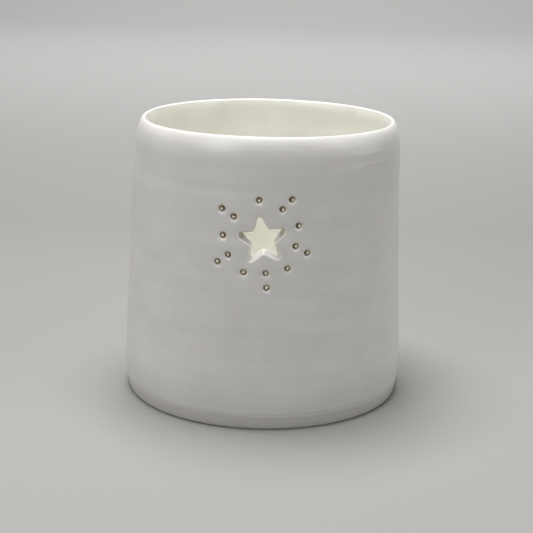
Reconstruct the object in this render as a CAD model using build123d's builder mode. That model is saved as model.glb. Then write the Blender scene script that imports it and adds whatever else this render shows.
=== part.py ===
"""A thrown porcelain tealight holder with a star cut through its wall, and the tealight that it holds.

Millimetres, +Z up. The origin is the centre of the foot, on the surface that the holder stands on.
The star faces -Y. Every profile of revolution is drawn on Plane.XZ as (radius, height).
"""

import os
from math import cos, degrees, radians, sin

from build123d import *

# --- Porcelain holder: driving dimensions -------------------------------------------------
HEIGHT = 80.0  # foot to the crest of the lip
FOOT_RADIUS = 39.2  # flat standing face, before its edge is rounded
FOOT_EDGE = 0.6  # rounding of that edge
FOOT_TURN = 78  # degrees that the rounding turns through, up to the bevel
CREASE_RADIUS = 40.4  # faint crease at the top of the turned foot bevel
CREASE_HEIGHT = 3.9
WALL_LEAN = 0.12  # sideways per height, outwards at the crease and inwards at the shoulder
WALL_OUTSIDE = [(40.85, 10.0), (40.4, 20.0), (39.45, 40.0), (38.5, 62.0)]
SHOULDER_RADIUS = 37.7  # where the wall starts to turn in to the lip
SHOULDER_HEIGHT = 75.5
CREST_RADIUS = 35.9  # highest line of the lip
CREST_FALL = 0.02  # height per width with which the shoulder runs into the crest
LIP_ROUND = 0.75  # inner rounding of the lip
LIP_TURN = 75  # degrees that it turns through, down to the inside wall
WALL_INSIDE = [(35.3, 74.0), (36.75, 40.0)]
CORNER_RADIUS = 7.0  # inner corner between wall and floor
INSIDE_RADIUS = 37.3  # widest inside, at the top of that corner
FLOOR_HEIGHT = 4.5
RECESS_RADIUS = 29.0  # shallow hollow under the foot, so that it stands on a ring
RECESS_DEPTH = 0.6
RECESS_SLOPE = 1.6

# --- Star and poked dots ------------------------------------------------------------------
STAR_HEIGHT = 52.9
STAR_TURN = 6.5  # the star leans this many degrees to the left
STAR_TIP = 8.3  # centre to tip, before the tip is rounded
STAR_NOTCH = 3.4  # centre to notch, before the notch is rounded
STAR_POINTS = 5
TIP_ROUND = 0.75
NOTCH_ROUND = 0.8
STAR_TAPER = 9.0  # the cutter drags the clay, so the star narrows inwards, in degrees
CUT_LEAD = 0.3  # the tapered cut begins this far outside the wall
CUT_DEPTH = 4.4
DOT_RADIUS = 0.72
DOT_FLARE = 1.0  # radius of the softened mouth of each dot
DOT_FLARE_ANGLE = 90
# Poked by hand round the star's centre, as (degrees from +X, millimetres): one dot off each
# tip, and a near and a far one off each notch.
TIP_DOTS = [(96, 10.8), (22, 10.5), (-48, 10.2), (-119, 10.0), (175, 10.7)]
NEAR_DOTS = [(142, 9.9), (58, 9.9), (-10, 9.1), (-83, 8.9), (-155, 10.1)]
FAR_DOTS = [(144, 13.7), (55, 13.4), (-16, 12.7), (-84, 12.9), (-152, 13.6)]

# --- Tealight: driving dimensions ---------------------------------------------------------
CUP_HEIGHT = 15.5
CUP_BASE_RADIUS = 18.4
CUP_TOP_RADIUS = 18.9
CUP_SHEET = 0.25
CUP_BASE_ROUND = 1.0
CUP_TURN = 89  # degrees that the base rounding turns through, up to the side
CUP_CURL = 0.5  # radius of the rolled edge
BOSS_RADIUS = 8.0  # raised middle of the cup's base
BOSS_HEIGHT = 0.7
BOSS_SLOPE = 0.8
WAX_GAP = 0.25  # all round, between the wax and the cup
WAX_TOP = 13.2  # above the cup's base
WAX_EDGE_ROUND = 0.7
WAX_DIMPLE_RADIUS = 5.0
WAX_DIMPLE_DEPTH = 0.6
DISC_RADIUS = 6.2
DISC_SHEET = 0.3
NECK_RADIUS = 1.3
NECK_HEIGHT = 3.2
NECK_CHAMFER = 0.2
WICK_RADIUS = 0.75
WICK_FIT = 0.03  # gap round the wick
WICK_STRAIGHT = 3.0  # upright length above the wax
WICK_BENT = 5.0  # leaning length above that
WICK_LEAN = 18.0  # degrees from upright at the tip

os.makedirs("parts", exist_ok=True)


def radial_plane(angle, radius, height):
    """A plane on the holder's wall, its normal pointing out from the axis and its Y upwards.

    The angle is in degrees, anticlockwise seen from above, from the -Y direction.
    """
    outward = Vector(sin(radians(angle)), -cos(radians(angle)), 0)
    along = Vector(cos(radians(angle)), sin(radians(angle)), 0)
    return Plane(origin=outward * radius + Vector(0, 0, height), x_dir=along, z_dir=outward)


def wall_radius(height):
    """Outer radius of the wall between its lowest and highest stations, along straight lines."""
    stations = WALL_OUTSIDE + [(SHOULDER_RADIUS, SHOULDER_HEIGHT)]
    for (lower_r, lower_z), (upper_r, upper_z) in zip(stations, stations[1:]):
        if height <= upper_z:
            share = (height - lower_z) / (upper_z - lower_z)
            return lower_r + share * (upper_r - lower_r)
    return SHOULDER_RADIUS


def star_outline():
    """Tips and notches by turns, anticlockwise, as points on the sketch plane."""
    half_step = 180 / STAR_POINTS
    for corner in range(2 * STAR_POINTS):
        reach = STAR_NOTCH if corner % 2 else STAR_TIP
        angle = radians(90 + STAR_TURN + corner * half_step)
        yield reach * cos(angle), reach * sin(angle)


def dot_plane(angle, reach):
    """The plane of one dot: its place round the star, laid on the curved wall."""
    height = STAR_HEIGHT + reach * sin(radians(angle))
    radius = wall_radius(height)
    turn = degrees(reach * cos(radians(angle)) / radius)
    return radial_plane(turn, radius, height)


# --- Porcelain holder ---------------------------------------------------------------------
with BuildPart() as holder_body:
    with BuildSketch(Plane.XZ):
        with BuildLine():
            underside = Polyline(
                (0, RECESS_DEPTH),
                (RECESS_RADIUS, RECESS_DEPTH),
                (RECESS_RADIUS + RECESS_SLOPE, 0),
                (FOOT_RADIUS, 0),
            )
            foot_edge = JernArc(start=underside @ 1, tangent=(1, 0), radius=FOOT_EDGE, arc_size=FOOT_TURN)
            bevel = Line(foot_edge @ 1, (CREASE_RADIUS, CREASE_HEIGHT))
            wall = Spline(
                bevel @ 1,
                *WALL_OUTSIDE,
                (SHOULDER_RADIUS, SHOULDER_HEIGHT),
                tangents=[(WALL_LEAN, 1), (-WALL_LEAN, 1)],
            )
            shoulder = Spline(
                wall @ 1, (CREST_RADIUS, HEIGHT), tangents=[wall % 1, (-1, CREST_FALL)]
            )
            lip = JernArc(start=shoulder @ 1, tangent=(-1, 0), radius=LIP_ROUND, arc_size=LIP_TURN)
            inside = Spline(
                lip @ 1,
                *WALL_INSIDE,
                (INSIDE_RADIUS, FLOOR_HEIGHT + CORNER_RADIUS),
                tangents=[lip % 1, (0, -1)],
            )
            corner = JernArc(
                start=inside @ 1, tangent=(0, -1), radius=CORNER_RADIUS, arc_size=-90
            )
            Polyline(corner @ 1, (0, FLOOR_HEIGHT), (0, RECESS_DEPTH))
        make_face()
    revolve(axis=Axis.Z)

    # The star, narrowing towards the inside.
    with BuildSketch(radial_plane(0, wall_radius(STAR_HEIGHT) + CUT_LEAD, STAR_HEIGHT)) as star:
        Polygon(*star_outline(), align=None)
        corners = star.vertices().sort_by_distance(star.face().center())
        fillet(corners[:STAR_POINTS], radius=NOTCH_ROUND)
        corners = star.vertices().sort_by_distance(star.face().center())
        fillet(corners[-STAR_POINTS:], radius=TIP_ROUND)
    extrude(amount=-CUT_DEPTH, taper=STAR_TAPER, mode=Mode.SUBTRACT)

    # The dots, each poked straight towards the axis, with a softened mouth.
    with Locations(*[dot_plane(*dot) for dot in TIP_DOTS + NEAR_DOTS + FAR_DOTS]):
        CounterSinkHole(
            radius=DOT_RADIUS,
            counter_sink_radius=DOT_FLARE,
            depth=CUT_DEPTH,
            counter_sink_angle=DOT_FLARE_ANGLE,
        )
holder_body.part.label = "holder_body"
export_step(holder_body.part, "parts/holder_body.step")

# --- Tealight -----------------------------------------------------------------------------
# The tealight stands on the holder's floor, so its own heights are counted from there.


def seat(height):
    """A height above the holder's floor, as a height in the holder's frame."""
    return FLOOR_HEIGHT + height


def cup_radius(height):
    """Outer radius of the cup's slightly tapered side at a height above the cup's base."""
    return CUP_BASE_RADIUS + (CUP_TOP_RADIUS - CUP_BASE_RADIUS) * height / CUP_HEIGHT


with BuildPart() as tealight_cup:
    with BuildSketch(Plane.XZ):
        with BuildLine():
            boss = Polyline(
                (0, seat(BOSS_HEIGHT)),
                (BOSS_RADIUS, seat(BOSS_HEIGHT)),
                (BOSS_RADIUS + BOSS_SLOPE, seat(0)),
                (CUP_BASE_RADIUS - CUP_BASE_ROUND, seat(0)),
            )
            turn_up = JernArc(
                start=boss @ 1, tangent=(1, 0), radius=CUP_BASE_ROUND, arc_size=CUP_TURN
            )
            Line(turn_up @ 1, (CUP_TOP_RADIUS, seat(CUP_HEIGHT - CUP_CURL)))
            offset(amount=CUP_SHEET, side=Side.LEFT)
        make_face()
    revolve(axis=Axis.Z)
    with BuildSketch(Plane.XZ):
        with Locations((CUP_TOP_RADIUS + CUP_CURL - CUP_SHEET, seat(CUP_HEIGHT - CUP_CURL))):
            Circle(CUP_CURL)
    revolve(axis=Axis.Z)
tealight_cup.part.label = "tealight_cup"
export_step(tealight_cup.part, "parts/tealight_cup.step")

with BuildPart() as wick_sustainer:
    disc_base = seat(BOSS_HEIGHT + CUP_SHEET)
    with BuildSketch(Plane.XY.offset(disc_base)):
        Circle(DISC_RADIUS)
    extrude(amount=DISC_SHEET)
    with BuildSketch(Plane.XY.offset(disc_base + DISC_SHEET)):
        Circle(NECK_RADIUS)
        Circle(WICK_RADIUS + WICK_FIT, mode=Mode.SUBTRACT)
    extrude(amount=NECK_HEIGHT)
    top_edges = wick_sustainer.edges().group_by(Axis.Z)[-1]
    chamfer(top_edges.sort_by(SortBy.RADIUS)[-1], length=NECK_CHAMFER)
wick_sustainer.part.label = "wick_sustainer"
export_step(wick_sustainer.part, "parts/wick_sustainer.step")

with BuildPart() as candle_wax:
    side_gap = CUP_SHEET + WAX_GAP
    cup_floor = CUP_SHEET  # the wax stands on the sheet of the cup's base
    with BuildSketch(Plane.XZ):
        with BuildLine():
            foot = Polyline(
                (0, seat(BOSS_HEIGHT + cup_floor)),
                (BOSS_RADIUS + cup_floor, seat(BOSS_HEIGHT + cup_floor)),
                (BOSS_RADIUS + BOSS_SLOPE + cup_floor, seat(cup_floor)),
                (cup_radius(0) - side_gap - CUP_BASE_ROUND, seat(cup_floor)),
            )
            side = Line(
                (cup_radius(CUP_BASE_ROUND) - side_gap, seat(cup_floor + CUP_BASE_ROUND)),
                (cup_radius(WAX_TOP) - side_gap, seat(WAX_TOP - WAX_EDGE_ROUND)),
            )
            Line(foot @ 1, side @ 0)
            edge = JernArc(
                start=side @ 1, tangent=(0, 1), radius=WAX_EDGE_ROUND, arc_size=90
            )
            rim = Line(edge @ 1, (WAX_DIMPLE_RADIUS, seat(WAX_TOP)))
            dimple = Spline(
                rim @ 1, (0, seat(WAX_TOP - WAX_DIMPLE_DEPTH)), tangents=[(-1, 0), (-1, 0)]
            )
            Line(dimple @ 1, foot @ 0)
        make_face()
    revolve(axis=Axis.Z)
    # Room for the wick and its sustainer, cast in.
    add(wick_sustainer.part, mode=Mode.SUBTRACT)
    with BuildSketch(Plane.XY.offset(seat(0))):
        Circle(WICK_RADIUS + WICK_FIT)
    extrude(amount=CUP_HEIGHT, mode=Mode.SUBTRACT)
candle_wax.part.label = "candle_wax"
export_step(candle_wax.part, "parts/candle_wax.step")

with BuildPart() as wick:
    wick_start = seat(BOSS_HEIGHT + CUP_SHEET + DISC_SHEET)
    bend_start = seat(WAX_TOP - WAX_DIMPLE_DEPTH + WICK_STRAIGHT)
    with BuildLine(Plane.XZ) as wick_path:
        upright = Line((0, wick_start), (0, bend_start))
        JernArc(
            start=upright @ 1,
            tangent=(0, 1),
            radius=WICK_BENT / radians(WICK_LEAN),
            arc_size=-WICK_LEAN,
        )
    with BuildSketch(Plane.XY.offset(wick_start)):
        Circle(WICK_RADIUS)
    sweep(path=wick_path.wire())
wick.part.label = "wick"
export_step(wick.part, "parts/wick.step")
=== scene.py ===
import math
from collections import namedtuple

import bpy
import numpy as np
from mathutils import Matrix, Vector, geometry


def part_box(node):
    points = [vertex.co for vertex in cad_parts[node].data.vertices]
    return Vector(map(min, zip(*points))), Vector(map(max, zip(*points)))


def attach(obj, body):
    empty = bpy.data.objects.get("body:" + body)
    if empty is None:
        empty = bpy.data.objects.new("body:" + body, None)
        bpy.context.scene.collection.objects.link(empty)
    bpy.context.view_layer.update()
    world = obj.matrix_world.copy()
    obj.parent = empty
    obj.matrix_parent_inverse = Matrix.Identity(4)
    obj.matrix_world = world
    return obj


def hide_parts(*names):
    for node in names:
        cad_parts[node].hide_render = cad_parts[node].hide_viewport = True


# The looks of a thrown porcelain tealight holder, with a star cut through its wall, and of the
# tealight in it. Lengths are in millimetres, and MM turns them into the frame's metres.

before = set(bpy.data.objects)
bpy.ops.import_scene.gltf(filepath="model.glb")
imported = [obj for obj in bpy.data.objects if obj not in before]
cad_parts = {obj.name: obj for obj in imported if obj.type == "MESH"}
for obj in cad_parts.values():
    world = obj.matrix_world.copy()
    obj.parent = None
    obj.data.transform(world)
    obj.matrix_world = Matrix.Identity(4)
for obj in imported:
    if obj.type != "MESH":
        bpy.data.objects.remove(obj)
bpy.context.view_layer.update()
MM = 0.001

# --- Holder: the section of the pot, as (height, radius) -----------------------------------
HEIGHT = 80.0
RECESS_RADIUS, RECESS_DEPTH, RECESS_SLOPE = 29.0, 0.6, 1.6
FOOT_RADIUS, FOOT_EDGE, FOOT_TURN = 39.2, 0.6, 78
CREASE_HEIGHT, SHOULDER_HEIGHT = 3.9, 73.5
OUTSIDE = [(3.9, 40.4), (10.0, 40.85), (20.0, 40.4), (40.0, 39.45), (62.0, 38.5), (73.5, 37.85)]
OUTSIDE_SLOPES = (0.12, -0.09)
CREST_RADIUS, LIP_ROUND, LIP_TURN = 35.7, 0.48, 75
LIP_END = (
    HEIGHT - LIP_ROUND * (1 - math.cos(math.radians(LIP_TURN))),
    CREST_RADIUS - LIP_ROUND * math.sin(math.radians(LIP_TURN)),
)
# How long the shoulder keeps to the wall's line, and how fast it turns into the crest.
SHOULDER_HOLD, CREST_TURN = 2.6, 1.5
# The top leans a little to the right: how far, and between which heights.
MOUTH_SHIFT, MOUTH_SHIFT_FROM, MOUTH_SHIFT_TO = 0.4, 60.0, 73.0
INSIDE = [(11.5, 37.3), (40.0, 36.75), (74.0, 35.2), LIP_END]
INSIDE_SLOPES = (0.0, 1 / math.tan(math.radians(LIP_TURN)))
CORNER_RADIUS, FLOOR_HEIGHT = 7.0, 4.5

COLUMNS = 256  # round the pot
FOOT_ROWS, WALL_ROWS, PATCH_ROWS, UPPER_ROWS = 9, 33, 31, 26  # rows of points, upwards outside
INNER_UPPER_ROWS, INNER_LOWER_ROWS, CORNER_ROWS, FLOOR_ROWS = 16, 26, 10, 9  # and downwards inside
SHOULDER_ROWS, LIP_ROWS = 22, 8
PATCH_COLUMNS = 19  # columns on each side of the star that are meshed round the cuts
PATCH_LOW, PATCH_HIGH = 36.0, 66.0  # heights between which the wall is meshed round the cuts
PATCH_STEP = 0.55
PATCH_CLEAR = 0.3  # free points keep this far from a cut's outermost ring

# --- Holder: what the potter's hands left ---------------------------------------------------
RINGS = [(5.7, 0.030, 0.4), (3.1, 0.014, 2.1), (11.3, 0.040, 4.0)]  # pitch, depth, phase
INNER_RINGS = [(7.4, 0.10, 1.0), (4.3, 0.05, 3.3)]
LIP_SAG = 0.20
LIP_SAG_FROM = 70.0
GLAZE_EDGE, GROOVE_DEPTH, GROOVE_WIDTH = 4.25, 0.13, 0.24  # the line left by wiping the foot
# Faint lines of slip on the right of the shoulder: height, rise, phase, lean.
RIDGES = [(74.5, 0.09, 0.5, -0.01), (71.4, 0.08, 1.9, 0.02)]
RIDGE_MIDDLE, RIDGE_SPREAD, RIDGE_WIDTH = 47, 13, 0.42

# --- Star and dots --------------------------------------------------------------------------
STAR_HEIGHT = 52.9
STAR_ARMS = [(99, 7.9), (168.5, 8.1), (239, 8.2), (314.5, 8.25), (384.5, 8.4)]  # direction, reach
STAR_NOTCH = 3.4
TIP_ROUND, NOTCH_ROUND = 0.85, 0.7
STAR_EDGE = 0.45
STAR_TAPER = 0.25  # how far every side of the star leans in through the wall
STAR_SHRINK = 0.8  # how much more its tips draw in towards its centre
STAR_SHIFT = (0.0, 0.6)  # where its inner end is from its outer one, because the knife leaned
DOT_RADIUS, DOT_EDGE = 0.74, 0.42
DOT_TAPER, DOT_DROP = 0.49, 0.52  # each is poked by a pointed tool, held a little high
SOFT_BELOW = 0.25  # how much wider a dot's edge is at its bottom, and narrower at its top
DOT_FLAT = 0.85  # how near a dot's edge is to a straight bevel, where the star's is round
INNER_EDGE = 0.25
INNER_FADE = 1.8  # within this of a cut, the inside mesh moves with the cut's far end
TIP_DOTS = [(96, 10.8), (22, 10.5), (-48, 10.2), (-119, 10.0), (175, 10.7)]
NEAR_DOTS = [(142, 9.9), (58, 9.9), (-10, 9.1), (-83, 8.9), (-155, 10.1)]
FAR_DOTS = [(144, 13.7), (55, 13.4), (-16, 12.7), (-84, 12.9), (-152, 13.6)]
STAR_DISH, STAR_DISH_REACH = 0.16, 1.3
DOT_DISH, DOT_DISH_REACH = 0.07, 0.5
STAR_TIP_BROWN_AND_SHADE, STAR_TIP_SHADE_FROM, STAR_TIP_SHADE_TO = 0.30, 4.3, 5.6  # brown glaze, with painted shade, in its side tips
STAR_SHADE_UNDER = 0.85  # painted shade under its upper edges, which face down
DOT_BROWN_AND_SHADE, DOT_BROWN_AND_SHADE_TOP = 1.0, 0.85  # brown glaze with painted shade in each dot; a dot's top is less brown than its bottom
BROWN_AND_SHADE_FROM_TOP, BROWN_AND_SHADE_FROM_BOTTOM, BROWN_AND_SHADE_BLEND = 0.0, 0.95, 0.3  # where the brown and painted shade start, in roundings
BROWN_AND_SHADE_INNER = 0.5  # how much of it is left at a cut's inner edge

# --- Tealight -------------------------------------------------------------------------------
CUP_SHEET, CUP_RIBS, CUP_RIB_DEPTH = 0.25, 72, 0.035
CUP_FLOOR_SHEET = 0.22  # a hair under the sheet, so the wax and the sustainer don't share a plane with it
CUP_CURL, CUP_BOSS = 0.5, 0.7  # the rolled edge's radius, and how high the base's middle is pressed
WAX_MENISCUS, MENISCUS_REACH = 0.35, 0.9
WICK_STRANDS, WICK_TWIST = 3, 3.4  # strands, and the height in which one goes once round
WICK_BENT, WICK_LEAN = 5.0, 18  # the length that leans, and how far its tip does, in degrees
STRAND_RADIUS, STRAND_ORBIT = 0.36, 0.38
STRAND_SIDES, STRAND_STEPS = 10, 110

# --- Camera ---------------------------------------------------------------------------------
CAMERA_DISTANCE, CAMERA_ELEVATION, CAMERA_TURN, CAMERA_ROLL = 382.2, 15.407, 0.82, 1.22
CAMERA_LENS = 87.29
TARGET_X, TARGET_Z = 0.71, 35.3


# --- Small helpers --------------------------------------------------------------------------
def through(stations, slopes, x):
    """The smooth curve through (x, y) stations with the given end slopes, at x."""
    xs, ys = (np.array(v, float) for v in zip(*stations))
    m = np.empty(len(xs))
    m[0], m[-1] = slopes
    m[1:-1] = (ys[2:] - ys[:-2]) / (xs[2:] - xs[:-2])
    i = np.clip(np.searchsorted(xs, x) - 1, 0, len(xs) - 2)
    step = xs[i + 1] - xs[i]
    t = (x - xs[i]) / step
    return (
        (1 + 2 * t) * (1 - t) ** 2 * ys[i]
        + t * (1 - t) ** 2 * step * m[i]
        + t * t * (3 - 2 * t) * ys[i + 1]
        + t * t * (t - 1) * step * m[i + 1]
    )


def smooth(low, high, x):
    """0 below low, 1 above high, and smooth between them."""
    t = np.clip((x - low) / (high - low), 0, 1)
    return t * t * (3 - 2 * t)


def rings(layers, angle, height):
    """Depth of the throwing rings: each spirals up the wall, and none stands proud of it."""
    depth = 0.0
    for pitch, deep, phase in layers:
        drift = 0.6 * np.sin(height / (pitch * 2.3) + phase)
        depth = depth + deep * (1 - np.cos(2 * math.pi * height / pitch + angle + drift + phase)) / 2
    return depth


def ridges(angle, height):
    """Two faint wavy lines of slip on the right of the shoulder."""
    degrees = np.degrees(angle)
    fade = np.exp(-(((degrees - RIDGE_MIDDLE) / RIDGE_SPREAD) ** 2))
    rise = 0.0
    for level, proud, phase, lean in RIDGES:
        line = level + 0.22 * np.sin(degrees / 2.6 + phase) + lean * (degrees - RIDGE_MIDDLE)
        rise = rise + proud * np.exp(-(((height - line) / RIDGE_WIDTH) ** 2))
    return rise * fade


def outer_radius(angle, height):
    plain = through(OUTSIDE, OUTSIDE_SLOPES, height)
    fade = smooth(CREASE_HEIGHT, CREASE_HEIGHT + 3, height) * (1 - smooth(70, SHOULDER_HEIGHT, height))
    groove = GROOVE_DEPTH * np.exp(-(((height - GLAZE_EDGE) / GROOVE_WIDTH) ** 2))
    return plain - groove - fade * rings(RINGS, angle, height) + ridges(angle, height)


# The radius that the wall is unrolled at, so that the cuts can be laid out flat.
WALL_REACH = float(through(OUTSIDE, OUTSIDE_SLOPES, STAR_HEIGHT))


def inner_radius(angle, height):
    plain = through(INSIDE, INSIDE_SLOPES, height)
    fade = smooth(INSIDE[0][0], INSIDE[0][0] + 4, height) * (1 - smooth(70, 77, height))
    return plain + fade * rings(INNER_RINGS, angle, height)


def lip_drop(angle, height):
    """How far the hand-wiped lip sags below its highest point, round the pot."""
    wave = 0.5 - 0.3 * np.cos(2 * angle - 0.5) - 0.2 * np.cos(3 * angle + 0.4)
    return LIP_SAG * wave * smooth(LIP_SAG_FROM, HEIGHT, height)


def place(angle, radius, height):
    """A point of the pot, in metres. The angle grows from the star's side, -Y, towards +X."""
    shift = MOUTH_SHIFT * float(smooth(MOUTH_SHIFT_FROM, MOUTH_SHIFT_TO, height))
    return (
        (radius * math.sin(angle) + shift) * MM,
        -radius * math.cos(angle) * MM,
        (height - float(lip_drop(angle, height))) * MM,
    )


def new_piece(name, points, faces, marks=None):
    """A smooth-shaded mesh object, with one float attribute for each entry of marks."""
    mesh = bpy.data.meshes.new(name)
    mesh.from_pydata(points, [], faces)
    mesh.validate()
    for key, values in (marks or {}).items():
        mesh.attributes.new(key, "FLOAT", "POINT").data.foreach_set("value", values)
    mesh.polygons.foreach_set("use_smooth", [True] * len(mesh.polygons))
    mesh.update()
    piece = bpy.data.objects.new(name, mesh)
    bpy.context.scene.collection.objects.link(piece)
    return piece


# --- The holder's mesh ----------------------------------------------------------------------
class Pot:
    """Points, faces and marks of the pot. Marks: inside, the glaze's side, and the brown glaze and painted
    shade in a cut.
    """

    def __init__(self):
        self.points, self.faces = [], []
        self.inside, self.pool = [], []

    def point(self, angle, radius, height, inside, pool=0.0):
        self.points.append(place(angle, float(radius), float(height)))
        self.inside.append(float(inside))
        self.pool.append(float(pool))
        return len(self.points) - 1

    def row(self, radius_at, height, inside):
        angles = [2 * math.pi * c / COLUMNS for c in range(COLUMNS)]
        return [self.point(a, radius_at(a, height), height, inside) for a in angles]

    def skin(self, low, high, skip=()):
        """Faces between two rows of columns, leaving out the columns in skip."""
        for c in range(COLUMNS):
            if c not in skip:
                d = (c + 1) % COLUMNS
                self.faces.append((low[c], low[d], high[d], high[c]))

    def cap(self, row, height, inside, top):
        """Closes a row with a centre point."""
        centre = self.point(0, 0, height, inside)
        for c in range(COLUMNS):
            d = (c + 1) % COLUMNS
            self.faces.append((row[c], row[d], centre) if top else (row[d], row[c], centre))

    def bridge(self, first, second):
        """Faces between two closed loops of a cut's wall."""
        for i in range(len(first)):
            j = (i + 1) % len(first)
            self.faces.append((first[i], first[j], second[j], second[i]))

    def piece(self, name):
        """The finished object, without the grid points that the patch took the place of."""
        used = sorted({index for face in self.faces for index in face})
        renumbered = {index: n for n, index in enumerate(used)}
        faces = [tuple(renumbered[index] for index in face) for face in self.faces]
        marks = {"inside": [self.inside[i] for i in used], "pool": [self.pool[i] for i in used]}
        return new_piece(name, [self.points[i] for i in used], faces, marks)


def fixed(radius):
    return lambda angle, height: radius


def ridged(radius):
    return lambda angle, height: radius + ridges(angle, height)


def underside_rows():
    """(radius, height) from the middle of the hollow foot out to the crease."""
    rows = [(r, RECESS_DEPTH) for r in np.linspace(4, RECESS_RADIUS, 6)]
    rows += [(RECESS_RADIUS + RECESS_SLOPE, 0.0), (34.5, 0.0), (FOOT_RADIUS, 0.0)]
    for turn in np.radians(np.linspace(0, FOOT_TURN, 7)[1:]):
        rows.append((FOOT_RADIUS + FOOT_EDGE * math.sin(turn), FOOT_EDGE * (1 - math.cos(turn))))
    start_r, start_z = rows[-1]
    for share in (0.3, 0.6, 0.85):
        rows.append((
            start_r + share * (OUTSIDE[0][1] - start_r),
            start_z + share * (CREASE_HEIGHT - start_z),
        ))
    return rows


def lip_rows():
    """(radius, height) from the shoulder over the crest to the inside of the lip."""
    rows = []
    for step in np.linspace(0, 1, SHOULDER_ROWS + 1)[1:]:
        share = 1 - (1 - step) ** 2
        height = SHOULDER_HEIGHT + (HEIGHT - SHOULDER_HEIGHT) * share
        wall = OUTSIDE[-1][1] + OUTSIDE_SLOPES[1] * (height - SHOULDER_HEIGHT)
        bulge = (1 - share ** SHOULDER_HOLD) ** (1 / CREST_TURN)
        rows.append((CREST_RADIUS + (wall - CREST_RADIUS) * bulge, height))
    for turn in np.radians(np.linspace(0, LIP_TURN, LIP_ROWS + 1)[1:]):
        rows.append((
            CREST_RADIUS - LIP_ROUND * math.sin(turn),
            HEIGHT - LIP_ROUND * (1 - math.cos(turn)),
        ))
    return rows


def star_corners():
    """The star's tips and notches in turn, before they are rounded."""
    corners = []
    for k, (direction, reach) in enumerate(STAR_ARMS):
        following = STAR_ARMS[(k + 1) % len(STAR_ARMS)][0]
        between = (direction + (following if following > direction else following + 360)) / 2
        for angle, far in ((direction, reach), (between, STAR_NOTCH)):
            corners.append(np.array([math.cos(math.radians(angle)), math.sin(math.radians(angle))]) * far)
    return corners


def star_outline():
    """The star's rounded outline, as (point, direction away from the star) pairs."""
    corners = star_corners()
    arcs = []
    for k, corner in enumerate(corners):
        tip = k % 2 == 0
        radius, steps = (TIP_ROUND, 12) if tip else (NOTCH_ROUND, 8)
        before = corners[k - 1] - corner
        after = corners[(k + 1) % len(corners)] - corner
        before, after = before / np.linalg.norm(before), after / np.linalg.norm(after)
        half = math.acos(float(np.clip(before @ after, -1, 1))) / 2
        middle = (before + after) / np.linalg.norm(before + after)
        centre = corner + middle * radius / math.sin(half)
        first = corner + before * radius / math.tan(half) - centre
        sweep = (math.pi - 2 * half) * (1 if tip else -1)
        arc = []
        for turn in np.linspace(0, sweep, steps + 1):
            c, d = math.cos(turn), math.sin(turn)
            spoke = np.array([c * first[0] - d * first[1], d * first[0] + c * first[1]])
            arc.append((centre + spoke, spoke / radius if tip else -spoke / radius))
        arcs.append(arc)
    outline = []
    for arc, following in zip(arcs, arcs[1:] + arcs[:1]):
        (start, away), goal = arc[-1], following[0][0]
        outline += arc
        outline += [(start + (goal - start) * s, away) for s in np.linspace(0, 1, 13)[1:-1]]
    return outline


def dot_outline(count=28):
    turns = [2 * math.pi * i / count for i in range(count)]
    spokes = [np.array([math.cos(t), math.sin(t)]) for t in turns]
    return [(spoke * DOT_RADIUS, spoke) for spoke in spokes]


# A cut on the unrolled wall: where it is, its outline, the rounding of its edge, how much more of it is
# at the bottom and how straight it is, how far its sides lean in and its tips draw in, where its far end
# moves to, and how much brown glaze and painted shade it has at each point of its outline.
Cut = namedtuple("Cut", "centre outline edge soft_below flat taper shrink shift pools")


def star_cut():
    outline = star_outline()
    pools = []
    for p, away in outline:
        # Brown glaze with painted shade in the side tips, and painted shade under the upper edges, which
        # face down.
        in_tip = STAR_TIP_BROWN_AND_SHADE * float(smooth(STAR_TIP_SHADE_FROM, STAR_TIP_SHADE_TO, abs(p[0])))
        under = STAR_SHADE_UNDER * float(smooth(0.1, 0.7, away[1]))
        pools.append(max(in_tip, under))
    middle, shift = np.array([0.0, STAR_HEIGHT]), np.array(STAR_SHIFT)
    return Cut(middle, outline, STAR_EDGE, 0.0, 0.0, STAR_TAPER, STAR_SHRINK, shift, pools)


def dot_cut(angle, reach):
    """A poked dot. All are poked straight ahead, not at the pot's axis, so its far end moves outwards."""
    turn = math.radians(angle)
    centre = np.array([reach * math.cos(turn), STAR_HEIGHT + reach * math.sin(turn)])
    sideways = WALL_REACH * math.sin(centre[0] / WALL_REACH)
    inner = float(through(INSIDE, INSIDE_SLOPES, centre[1]))
    shift = np.array([WALL_REACH * math.asin(sideways / inner) - centre[0], -DOT_DROP])
    outline = dot_outline()
    # Brown glaze with painted shade round each dot, a little less at its top.
    pools = [DOT_BROWN_AND_SHADE * (DOT_BROWN_AND_SHADE_TOP + (1 - DOT_BROWN_AND_SHADE_TOP) * (1 - away[1]) / 2) for _, away in outline]
    return Cut(centre, outline, DOT_EDGE, SOFT_BELOW, DOT_FLAT, DOT_TAPER, 0.0, shift, pools)


def cuts():
    """The star, and then the dots."""
    return [star_cut()] + [dot_cut(*spot) for spot in TIP_DOTS + NEAR_DOTS + FAR_DOTS]


def narrowed(cut, share, proud=0.0):
    """A cut's outline at a share of its way in, stood off by proud, as points on the unrolled wall."""
    spots = []
    span = STAR_ARMS[0][1] - STAR_NOTCH
    for p, away in cut.outline:
        reach = float(np.linalg.norm(p))
        pull = cut.shrink * share * max(0.0, reach - STAR_NOTCH) / span * p / reach
        stand = proud * (1 - cut.soft_below * away[1])
        spots.append(cut.centre + p + away * (stand - cut.taper * share) - pull + cut.shift * share)
    return np.array(spots)


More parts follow.
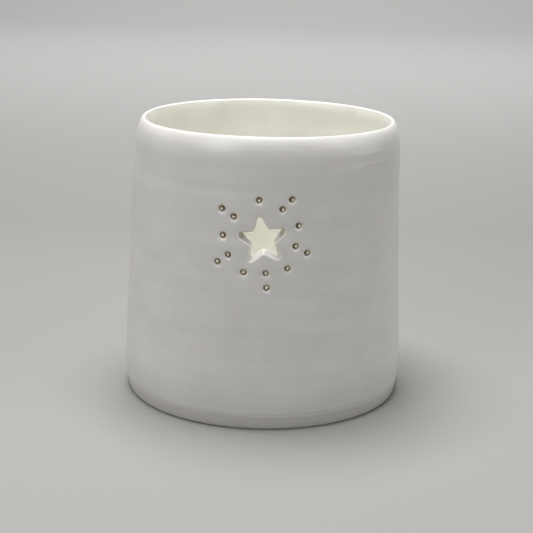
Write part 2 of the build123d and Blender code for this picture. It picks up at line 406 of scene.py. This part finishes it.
def dish(u, v, loops):
    """How far the clay dips towards the star and the dots, at points on the unrolled wall."""
    here = np.stack([np.atleast_1d(u), np.atleast_1d(v)], -1)
    depth = np.zeros(len(here))
    for n, loop in enumerate(loops):
        gap = np.sqrt(((here[:, None] - loop[None]) ** 2).sum(-1)).min(1)
        deep, reach = (STAR_DISH, STAR_DISH_REACH) if n == 0 else (DOT_DISH, DOT_DISH_REACH)
        depth = np.maximum(depth, deep * np.exp(-((gap / reach) ** 2)))
    return depth


def inside_polygon(x, y, loop):
    """Whether points lie inside a closed loop."""
    hit = np.zeros(len(x), bool)
    for (ax, ay), (bx, by) in zip(loop, np.roll(loop, -1, 0)):
        if ay != by:
            hit ^= ((ay > y) != (by > y)) & (x < (bx - ax) * (y - ay) / (by - ay) + ax)
    return hit


def wall_patch(pot, outer_rows, inner_rows, heights):
    """Meshes the wall round the cuts, outside and inside, and bridges each cut."""
    step = 2 * math.pi / COLUMNS * WALL_REACH
    columns = range(-PATCH_COLUMNS, PATCH_COLUMNS + 1)
    edge = [(c, 0) for c in columns]
    edge += [(PATCH_COLUMNS, r) for r in range(1, len(heights))]
    edge += [(c, len(heights) - 1) for c in reversed(columns[:-1])]
    edge += [(-PATCH_COLUMNS, r) for r in range(len(heights) - 2, 0, -1)]
    flat = [(c * step, heights[r]) for c, r in edge]
    lines = [(i, (i + 1) % len(edge)) for i in range(len(edge))]
    all_cuts = cuts()
    loops, starts = [], []
    for cut in all_cuts:
        loop = narrowed(cut, 0, cut.edge)
        starts.append(len(flat))
        lines += [(len(flat) + i, len(flat) + (i + 1) % len(loop)) for i in range(len(loop))]
        flat += [tuple(p) for p in loop]
        loops.append(loop)
    free = []
    half_width = PATCH_COLUMNS * step
    rise = PATCH_STEP * math.sqrt(3) / 2
    for n, v in enumerate(np.arange(PATCH_LOW + 0.5, PATCH_HIGH - 0.4, rise)):
        for u in np.arange(-half_width + 0.5 + (n % 2) * PATCH_STEP / 2, half_width - 0.4, PATCH_STEP):
            free.append((u, v))
    free = np.array(free)
    keep = np.ones(len(free), bool)
    for loop in loops:
        gap = np.sqrt(((free[:, None] - loop[None]) ** 2).sum(-1)).min(1)
        keep &= (gap > PATCH_CLEAR) & ~inside_polygon(free[:, 0], free[:, 1], loop)
    flat += [tuple(p) for p in free[keep]]

    result = geometry.delaunay_2d_cdt([Vector(p) for p in flat], lines, [], 0, 1e-6)
    where, triangles, origin = result[0], result[2], result[3]
    spots = np.array([tuple(p) for p in where])
    middles = np.array([spots[list(t)].mean(0) for t in triangles])
    solid = np.ones(len(triangles), bool)
    for loop in loops:
        solid &= ~inside_polygon(middles[:, 0], middles[:, 1], loop)
    source = [min(o) if len(o) else -1 for o in origin]

    ring_points = np.concatenate(loops)
    ring_shift = ring_points - np.concatenate([narrowed(cut, 1, INNER_EDGE) for cut in all_cuts])
    dips = dish(spots[:, 0], spots[:, 1], loops)
    outer, inner = [], []
    for k, (u, v) in enumerate(spots):
        if 0 <= source[k] < len(edge):
            c, r = edge[source[k]]
            outer.append(outer_rows[r][c % COLUMNS])
            inner.append(inner_rows[r][c % COLUMNS])
            continue
        angle = u / WALL_REACH
        outer.append(pot.point(angle, outer_radius(angle, v) - dips[k], v, 0))
        gaps = np.sqrt(((ring_points - (u, v)) ** 2).sum(1))
        near = int(gaps.argmin())
        shift = ring_shift[near] * math.exp(-gaps[near] / INNER_FADE)
        inner_angle, inner_v = (u - shift[0]) / WALL_REACH, v - shift[1]
        inner.append(pot.point(inner_angle, inner_radius(inner_angle, inner_v), inner_v, 1))
    for keep_it, (a, b, c) in zip(solid, triangles):
        if keep_it:
            pot.faces.append((outer[a], outer[b], outer[c]))
            pot.faces.append((inner[c], inner[b], inner[a]))
    by_source = {s: k for k, s in enumerate(source) if s >= 0}
    for cut, loop, start in zip(all_cuts, loops, starts):
        mouth = [outer[by_source[start + i]] for i in range(len(loop))]
        far = [inner[by_source[start + i]] for i in range(len(loop))]
        tunnel(pot, cut, loops, mouth, far)


def tunnel(pot, cut, loops, mouth, far):
    """The wall of one cut, with a soft edge outside and a small one inside."""
    rounding = cut.edge
    lows = [(1 - away[1]) / 2 for _, away in cut.outline]
    starts = [rounding * (BROWN_AND_SHADE_FROM_TOP + (BROWN_AND_SHADE_FROM_BOTTOM - BROWN_AND_SHADE_FROM_TOP) * low) for low in lows]
    section = []
    for step in np.linspace(0, 1, 7)[1:]:
        across, deep = math.sin(math.pi / 2 * step), 1 - math.cos(math.pi / 2 * step)
        across, deep = (v + (step - v) * cut.flat for v in (across, deep))
        section.append((rounding * (1 - across), rounding * deep, None))
    section += [(None, None, share) for share in (0.25, 0.5, 0.75, 1.0)]
    previous = mouth
    rims = narrowed(cut, 0, rounding)
    dips = dish(rims[:, 0], rims[:, 1], loops)
    for a, b, share in section:
        current = []
        for n, (u, v) in enumerate(narrowed(cut, share or 0, a or 0)):
            angle = u / WALL_REACH
            top = float(outer_radius(angle, v)) - dips[n]
            bottom = float(inner_radius(angle, v)) + INNER_EDGE
            depth = b if share is None else rounding + (top - bottom - rounding) * share
            # The brown glaze and painted shade on the cut's wall, from some way in.
            brown_and_shade_here = cut.pools[n] * float(smooth(starts[n], starts[n] + BROWN_AND_SHADE_BLEND * rounding, depth))
            current.append(pot.point(angle, top - depth, v, 0.5, brown_and_shade_here))
        pot.bridge(previous, current)
        previous = current
    for turn in np.radians([30, 60]):
        current = []
        for n, (u, v) in enumerate(narrowed(cut, 1, INNER_EDGE * (1 - math.cos(turn)))):
            angle = u / WALL_REACH
            radius = float(inner_radius(angle, v)) + INNER_EDGE * (1 - math.sin(turn))
            current.append(pot.point(angle, radius, v, 1, cut.pools[n] * BROWN_AND_SHADE_INNER))
        pot.bridge(previous, current)
        previous = current
    pot.bridge(previous, far)


def make_holder():
    """The whole pot as one closed mesh."""
    pot = Pot()
    rows = [pot.row(fixed(r), z, 0) for r, z in underside_rows()]
    pot.cap(rows[0], RECESS_DEPTH, 0, top=False)
    fine_top = GLAZE_EDGE + 3 * GROOVE_WIDTH
    low = list(np.linspace(CREASE_HEIGHT, fine_top, FOOT_ROWS))[:-1]
    low += list(np.linspace(fine_top, PATCH_LOW, WALL_ROWS))
    heights = list(np.linspace(PATCH_LOW, PATCH_HIGH, PATCH_ROWS))
    high = np.linspace(PATCH_HIGH, SHOULDER_HEIGHT, UPPER_ROWS)
    rows += [pot.row(outer_radius, z, 0) for z in low[:-1]]
    outer_rows = [pot.row(outer_radius, z, 0) for z in heights]
    after = [pot.row(outer_radius, z, 0) for z in high[1:]]
    crest = lip_rows()
    for n, (radius, height) in enumerate(crest):
        after.append(pot.row(ridged(radius), height, 0 if n < SHOULDER_ROWS else 0.5))
    inner_top = np.linspace(crest[-1][1], PATCH_HIGH, INNER_UPPER_ROWS)[1:-1]
    after += [pot.row(inner_radius, z, 1) for z in inner_top]
    inner_rows = [pot.row(inner_radius, z, 1) for z in heights]
    inner_low = np.linspace(PATCH_LOW, INSIDE[0][0], INNER_LOWER_ROWS)[1:]
    rest = [pot.row(inner_radius, z, 1) for z in inner_low]
    centre = INSIDE[0][1] - CORNER_RADIUS
    for turn in np.radians(np.linspace(0, 90, CORNER_ROWS)[1:]):
        radius = centre + CORNER_RADIUS * math.cos(turn)
        height = INSIDE[0][0] - CORNER_RADIUS * math.sin(turn)
        rest.append(pot.row(fixed(radius), height, 1))
    rest += [pot.row(fixed(r), FLOOR_HEIGHT, 1) for r in np.linspace(centre, 3, FLOOR_ROWS)[1:]]
    patch = {c % COLUMNS for c in range(-PATCH_COLUMNS, PATCH_COLUMNS)}
    for first, second in zip(rows, rows[1:] + [outer_rows[0]]):
        pot.skin(first, second)
    for first, second in zip(outer_rows, outer_rows[1:]):
        pot.skin(first, second, patch)
    for first, second in zip([outer_rows[-1]] + after, after + [inner_rows[-1]]):
        pot.skin(first, second)
    for first, second in zip(inner_rows[::-1], inner_rows[::-1][1:]):
        pot.skin(first, second, patch)
    for first, second in zip([inner_rows[0]] + rest, rest):
        pot.skin(first, second)
    pot.cap(rest[-1], FLOOR_HEIGHT, 1, top=True)
    wall_patch(pot, outer_rows, inner_rows, heights)
    piece = pot.piece("porcelain_holder")
    piece.data.materials.append(porcelain())
    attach(piece, "holder")
    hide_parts("holder_body")
    return piece


# --- The tealight's meshes ------------------------------------------------------------------
def lathe(name, section, columns, ripple=None):
    """A closed mesh turned from (radius, height) rows. The first and last rows are on the axis."""
    points, faces = [(0, 0, section[0][1] * MM)], []
    body = section[1:-1]
    for n, (radius, height) in enumerate(body):
        for c in range(columns):
            angle = 2 * math.pi * c / columns
            r = radius + (ripple(angle, radius, height) if ripple else 0)
            points.append((r * math.cos(angle) * MM, r * math.sin(angle) * MM, height * MM))
    points.append((0, 0, section[-1][1] * MM))
    last = len(points) - 1
    for c in range(columns):
        d = (c + 1) % columns
        faces.append((0, 1 + d, 1 + c))
        for n in range(len(body) - 1):
            a, b = 1 + n * columns, 1 + (n + 1) * columns
            faces.append((a + c, a + d, b + d, b + c))
        top = 1 + (len(body) - 1) * columns
        faces.append((top + c, top + d, last))
    return new_piece(name, points, faces)


def make_cup():
    """The drawn aluminium cup: pressed base, faintly ribbed side and rolled edge."""
    low, high = (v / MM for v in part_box("tealight_cup"))
    base, rim, outer = low.z, high.z, high.x
    curl, boss = CUP_CURL, CUP_BOSS
    side_low, side_high = outer - 1.25, outer - 0.75
    section = [(0, base + boss), (3, base + boss), (8.0, base + boss), (8.8, base)]
    section += [(12, base), (side_low - 1.0, base)]
    for turn in np.radians([25, 50, 75, 89]):
        section.append((side_low - 1 + math.sin(turn), base + 1 - math.cos(turn)))
    for share in np.linspace(0.1, 1, 12):
        section.append((
            side_low + (side_high - side_low) * share, base + 1 + (rim - 2 * curl - base - 1) * share
        ))
    middle = (outer - curl, rim - curl)
    for turn in np.radians(np.linspace(-125, 145, 14)):
        section.append((middle[0] + curl * math.cos(turn), middle[1] + curl * math.sin(turn)))
    for share in np.linspace(1, 0.1, 12):
        section.append((
            side_low - CUP_SHEET + (side_high - side_low) * share,
            base + 1 + (rim - 2 * curl - base - 1) * share,
        ))
    for turn in np.radians([89, 60, 30, 0]):
        section.append((
            side_low - 1 + (1 - CUP_SHEET) * math.sin(turn),
            base + 1 - (1 - CUP_FLOOR_SHEET) * math.cos(turn),
        ))
    floor, raised = base + CUP_FLOOR_SHEET, base + boss + CUP_FLOOR_SHEET
    section += [(12, floor), (8.9, floor), (8.1, raised), (3, raised), (0, raised)]

    def ribs(angle, radius, height):
        held = smooth(base + 1.5, base + 4, height) * (1 - smooth(rim - 3.5, rim - 1.5, height))
        return -CUP_RIB_DEPTH * float(held) * (1 - math.cos(CUP_RIBS * angle)) / 2

    piece = lathe("aluminium_cup", section, CUP_RIBS * 5, ribs)
    piece.data.materials.append(drawn_aluminium())
    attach(piece, "tealight")
    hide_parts("tealight_cup")
    return piece


def make_wax():
    """The wax: poured, so it climbs a little at the edge and sinks round the wick."""
    low, high = (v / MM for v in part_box("candle_wax"))
    base, top, outer = low.z, high.z, high.x
    section = [(0, base + 0.7), (8.2, base + 0.7), (9.0, base), (outer - 1.4, base)]
    section += [(outer - 0.75, base + 0.35), (outer - 0.42, base + 1.0)]
    section += [(outer - 0.42 * (1 - s), base + 1 + (top - base - 1.3) * s) for s in (0.3, 0.6, 1)]
    section += [(outer - 0.04, top - 0.12), (outer - 0.14, top - 0.02)]
    for radius in list(np.linspace(outer - 0.25, outer - 2.4, 8)) + list(np.linspace(15, 1.2, 24)):
        climb = WAX_MENISCUS * math.exp(-(outer - radius) / MENISCUS_REACH)
        sink = 0.55 * math.exp(-((radius / 3.4) ** 2)) + 0.10 * math.exp(-(((radius - 8) / 3) ** 2))
        section.append((radius, top - WAX_MENISCUS + climb - sink))
    section.append((0, section[-1][1] + 0.12))

    piece = lathe("wax_slug", section, 160)
    piece.data.materials.append(wax())
    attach(piece, "candle")
    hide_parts("candle_wax")
    return piece


def make_wick():
    """A braided wick: strands wound round one another, leaning over at the top."""
    low, high = (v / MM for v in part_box("wick"))
    straight, lean = high.z - WICK_BENT, math.radians(WICK_LEAN)
    bend = WICK_BENT / lean
    points, faces = [], []
    sides, steps = STRAND_SIDES, STRAND_STEPS
    for s in range(WICK_STRANDS):
        start = len(points)
        for n in range(steps + 1):
            along = (high.z - 0.25 - low.z) * n / steps
            height = low.z + along
            turn = max(0.0, (height - straight) / bend)
            centre = Vector((bend * (1 - math.cos(turn)), 0, min(height, straight) + bend * math.sin(turn)))
            ahead = Vector((math.sin(turn), 0, math.cos(turn)))
            across = Vector((math.cos(turn), 0, -math.sin(turn)))
            beside = ahead.cross(across)
            spin = 2 * math.pi * (along / WICK_TWIST + s / WICK_STRANDS)
            middle = centre + (across * math.cos(spin) + beside * math.sin(spin)) * STRAND_ORBIT
            thick = STRAND_RADIUS * (1 + 0.07 * math.sin(along * 5.1 + s * 2))
            thick *= 1 if 0 < n < steps else 0.55
            for k in range(sides):
                angle = 2 * math.pi * k / sides
                spot = middle + (across * math.cos(angle) + beside * math.sin(angle)) * thick
                points.append(tuple(spot * MM))
            if n:
                a, b = start + (n - 1) * sides, start + n * sides
                for k in range(sides):
                    m = (k + 1) % sides
                    faces.append((a + k, a + m, b + m, b + k))
        faces.append(tuple(start + k for k in reversed(range(sides))))
        faces.append(tuple(start + steps * sides + k for k in range(sides)))
    piece = new_piece("braided_wick", points, faces)
    piece.data.materials.append(cotton())
    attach(piece, "candle")
    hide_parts("wick")
    return piece


# --- Materials ------------------------------------------------------------------------------
class Nodes:
    """A material being built: add() makes a node, and join() links two sockets."""

    def __init__(self, name):
        self.material = bpy.data.materials.new(name)
        self.material.use_nodes = True
        self.tree = self.material.node_tree
        self.shader = self.tree.nodes["Principled BSDF"]

    def add(self, kind, values=None, **settings):
        node = self.tree.nodes.new(kind)
        for key, value in settings.items():
            setattr(node, key, value)
        for key, value in (values or {}).items():
            node.inputs[key].default_value = value
        return node

    def join(self, source, target):
        self.tree.links.new(source, target)

    def shine(self, **values):
        for key, value in values.items():
            self.shader.inputs[key.replace("_", " ")].default_value = value

    def noise(self, scale, detail=3.0, stretch=(1, 1, 1), rough=0.5):
        """Noise in the frame's own coordinates. Scale is in features for each metre."""
        where = self.add("ShaderNodeTexCoord")
        mapping = self.add("ShaderNodeMapping", {"Scale": stretch})
        noise = self.add("ShaderNodeTexNoise", {"Scale": scale, "Detail": detail, "Roughness": rough})
        self.join(where.outputs["Object"], mapping.inputs["Vector"])
        self.join(mapping.outputs["Vector"], noise.inputs["Vector"])
        return noise.outputs["Fac"]

    def ramp(self, source, stops):
        """Colours by a value; stops are (place, colour)."""
        ramp = self.add("ShaderNodeValToRGB")
        ramp.color_ramp.elements[0].position, ramp.color_ramp.elements[0].color = stops[0]
        ramp.color_ramp.elements[1].position, ramp.color_ramp.elements[1].color = stops[-1]
        for position, colour in stops[1:-1]:
            ramp.color_ramp.elements.new(position).color = colour
        self.join(source, ramp.inputs["Fac"])
        return ramp.outputs["Color"]

    def mix(self, factor, first, second, blend="MIX"):
        """Mixes two colours. The factor is a number or a socket, and a colour is either too."""
        mix = self.add("ShaderNodeMix", data_type="RGBA", blend_type=blend)
        for key, value in (("Factor", factor), (6, first), (7, second)):
            socket = mix.inputs[key]
            if isinstance(value, bpy.types.NodeSocket):
                self.join(value, socket)
            else:
                socket.default_value = value
        return mix.outputs[2]

    def spread(self, source, low, high):
        """Turns a 0 to 1 value into low to high."""
        span = self.add("ShaderNodeMapRange", {"To Min": low, "To Max": high})
        self.join(source, span.inputs["Value"])
        return span.outputs["Result"]

    def below(self, height, softness):
        """1 below a height of the frame and 0 above it, in millimetres."""
        where = self.add("ShaderNodeTexCoord")
        parts = self.add("ShaderNodeSeparateXYZ")
        self.join(where.outputs["Object"], parts.inputs["Vector"])
        edges = {"From Min": (height - softness) * MM, "From Max": height * MM, "To Min": 1, "To Max": 0}
        step = self.add("ShaderNodeMapRange", edges)
        self.join(parts.outputs["Z"], step.inputs["Value"])
        return step.outputs["Result"]

    def mark(self, name):
        return self.add("ShaderNodeAttribute", attribute_name=name).outputs["Fac"]

    def relief(self, *layers):
        """Bumps, each (height socket, depth in millimetres), laid over one another."""
        normal = None
        for height, depth in layers:
            bump = self.add("ShaderNodeBump", {"Strength": 1.0, "Distance": depth * MM})
            self.join(height, bump.inputs["Height"])
            if normal:
                self.join(normal, bump.inputs["Normal"])
            normal = bump.outputs["Normal"]
        self.join(normal, self.shader.inputs["Normal"])


def colour(red, green, blue):
    return (red, green, blue, 1.0)


def porcelain():
    """Satin grey-white outside, cream glaze inside, brown glaze with painted shade in the star and the
    poked dots, and a foot painted darker, partly as shade.
    """
    m = Nodes("porcelain")
    bands = m.noise(30, 3, (1, 1, 14))
    mottle = m.noise(95, 4)
    outside = m.ramp(bands, [(0.3, colour(0.735, 0.725, 0.705)), (0.7, colour(0.765, 0.755, 0.735))])
    cream = m.ramp(mottle, [(0.3, colour(0.85, 0.845, 0.79)), (0.7, colour(0.885, 0.88, 0.83))])
    glaze = m.mix(m.mark("inside"), outside, cream)
    shade = m.ramp(mottle, [(0.35, colour(0.955, 0.955, 0.947)), (0.65, colour(1, 1, 1))])
    glaze = m.mix(1.0, glaze, shade, "MULTIPLY")
    speck = m.ramp(m.noise(1500, 1), [(0.75, colour(1, 1, 1)), (0.82, colour(0.88, 0.86, 0.82))])
    glaze = m.mix(1.0, glaze, speck, "MULTIPLY")
    # The unglazed foot below the glaze line: partly its own body tone, partly painted shade at the base.
    glaze = m.mix(m.below(GLAZE_EDGE, GROOVE_WIDTH), glaze, colour(0.64, 0.625, 0.59))
    # Brown glaze with painted shade in the star and the dots.
    glaze = m.mix(m.mark("pool"), glaze, colour(0.30, 0.185, 0.045))
    m.join(glaze, m.shader.inputs["Base Color"])
    m.join(m.spread(m.noise(260, 3), 0.27, 0.42), m.shader.inputs["Roughness"])
    m.relief((m.noise(2600, 2), 0.006), (m.noise(420, 3), 0.020))
    m.shine(Subsurface_Weight=0.12, Subsurface_Scale=0.0015, IOR=1.5, Coat_Weight=0.12)
    m.shader.inputs["Coat Roughness"].default_value = 0.12
    m.shader.inputs["Subsurface Radius"].default_value = (1.0, 0.8, 0.6)
    return m.material


def drawn_aluminium():
    """Thin bright sheet, drawn upwards, with fine scratches and a few dull patches."""
    m = Nodes("drawn_aluminium")
    streaks = m.noise(900, 2, (1, 1, 0.08))
    m.join(m.ramp(streaks, [(0.3, colour(0.70, 0.71, 0.72)), (0.7, colour(0.86, 0.87, 0.88))]),
           m.shader.inputs["Base Color"])
    m.join(m.spread(m.noise(180, 4), 0.20, 0.42), m.shader.inputs["Roughness"])
    m.relief((streaks, 0.010), (m.noise(150, 2), 0.06))
    m.shine(Metallic=1.0)
    return m.material


def wax():
    """Paraffin: milky, soft-edged and a little mottled where it cooled."""
    m = Nodes("paraffin_wax")
    frost = m.noise(220, 5)
    m.join(m.ramp(frost, [(0.3, colour(0.86, 0.84, 0.79)), (0.7, colour(0.93, 0.92, 0.88))]),
           m.shader.inputs["Base Color"])
    m.join(m.spread(m.noise(500, 3), 0.34, 0.56), m.shader.inputs["Roughness"])
    m.relief((m.noise(300, 4), 0.05), (m.noise(1800, 2), 0.008))
    m.shine(Subsurface_Weight=0.8, Subsurface_Scale=0.002, IOR=1.44)
    m.shader.inputs["Subsurface Radius"].default_value = (1.0, 0.85, 0.65)
    return m.material


def tinned_steel():
    """The sustainer's dull stamped sheet."""
    m = Nodes("tinned_steel")
    m.join(m.ramp(m.noise(700, 4), [(0.3, colour(0.45, 0.45, 0.44)), (0.7, colour(0.62, 0.62, 0.60))]),
           m.shader.inputs["Base Color"])
    m.join(m.spread(m.noise(1100, 3), 0.3, 0.5), m.shader.inputs["Roughness"])
    m.relief((m.noise(900, 3), 0.01))
    m.shine(Metallic=1.0)
    return m.material


def cotton():
    """Primed cotton: fibres along the strand under a thin coat of wax."""
    m = Nodes("waxed_cotton")
    fibres = m.noise(3200, 4, (1, 1, 0.25))
    m.join(m.ramp(fibres, [(0.3, colour(0.66, 0.63, 0.55)), (0.7, colour(0.88, 0.86, 0.80))]),
           m.shader.inputs["Base Color"])
    m.relief((fibres, 0.08))
    m.shine(Roughness=0.62, Subsurface_Weight=0.2, Subsurface_Scale=0.0005, Sheen_Weight=0.3)
    return m.material


# --- Stage, lights and camera ---------------------------------------------------------------
def make_floor():
    """A pale sweep: flat under the pot, and curving up far behind it."""
    near, turn_at, radius, half = -4.0, 1.2, 1.0, 6.0
    line = [(near, 0.0), (turn_at, 0.0)]
    for turn in np.radians(np.linspace(0, 90, 25)[1:]):
        line.append((turn_at + radius * math.sin(turn), radius * (1 - math.cos(turn))))
    line.append((line[-1][0], 4.0))
    points = [(x, y, z) for y, z in line for x in (-half, half)]
    faces = [(2 * n, 2 * n + 1, 2 * n + 3, 2 * n + 2) for n in range(len(line) - 1)]
    floor = new_piece("floor", points, faces)
    m = Nodes("pale_floor")
    m.shine(Roughness=0.75)
    m.shader.inputs["Base Color"].default_value = colour(0.27, 0.268, 0.263)
    floor.data.materials.append(m.material)


def softbox(name, place_at, size, power, tint, aim):
    light = bpy.data.lights.new(name, "AREA")
    light.shape, light.size, light.energy, light.color = "SQUARE", size, power, tint
    lamp = bpy.data.objects.new(name, light)
    lamp.location = place_at
    lamp.rotation_euler = (Vector(aim) - Vector(place_at)).to_track_quat("-Z", "Y").to_euler()
    lamp.visible_camera = False
    bpy.context.scene.collection.objects.link(lamp)


# Soft lamps: (name, place, size, watts, tint).
LAMPS = [
    ("overhead", (-0.05, 0.06, 0.70), 0.40, 8.2, (1.0, 0.99, 0.975)),
    ("near_left", (-0.32, -0.36, 0.27), 0.25, 0.82, (1.0, 0.995, 0.985)),
    ("near_right", (0.42, -0.22, 0.30), 0.25, 0.52, (1.0, 0.995, 0.985)),
    ("side", (1.0, 0.0, 0.40), 0.6, 1.2, (1.0, 0.995, 0.985)),
]
BACKDROP_LAMP = ("backdrop", (0.0, 0.7, 1.1), 1.0, 38.0, (1.0, 1.0, 1.0))
BACKDROP_AIM = (0.0, 2.0, 0.5)


def make_lights():
    for lamp in LAMPS:
        softbox(*lamp, aim=(0, 0, HEIGHT * MM / 2))
    softbox(*BACKDROP_LAMP, aim=BACKDROP_AIM)
    world = bpy.data.worlds.new("studio")
    world.use_nodes = True
    background = world.node_tree.nodes["Background"]
    background.inputs["Color"].default_value = colour(0.96, 0.97, 1.0)
    background.inputs["Strength"].default_value = 0.03
    bpy.context.scene.world = world
    bpy.context.scene.view_settings.view_transform = "Standard"


def make_camera():
    data = bpy.data.cameras.new("camera")
    data.lens, data.sensor_width = CAMERA_LENS, 36.0
    data.clip_start, data.clip_end = 0.01, 50.0
    camera = bpy.data.objects.new("camera", data)
    tilt = math.radians(CAMERA_ELEVATION)
    back = Vector((0, -math.cos(tilt), math.sin(tilt)))
    target = Vector((TARGET_X, 0, TARGET_Z))
    turn = Matrix.Rotation(math.radians(CAMERA_TURN), 4, "Z")
    spot = Matrix.Translation((target + back * CAMERA_DISTANCE) * MM)
    aim = (-back).to_track_quat("-Z", "Y").to_matrix().to_4x4()
    roll = Matrix.Rotation(math.radians(CAMERA_ROLL), 4, "Z")
    camera.matrix_world = turn @ spot @ aim @ roll
    bpy.context.scene.collection.objects.link(camera)
    bpy.context.scene.camera = camera


make_camera()
make_lights()
make_floor()
make_holder()
make_cup()
make_wax()
make_wick()
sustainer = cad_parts["wick_sustainer"]
sustainer.data.materials.clear()
sustainer.data.materials.append(tinned_steel())
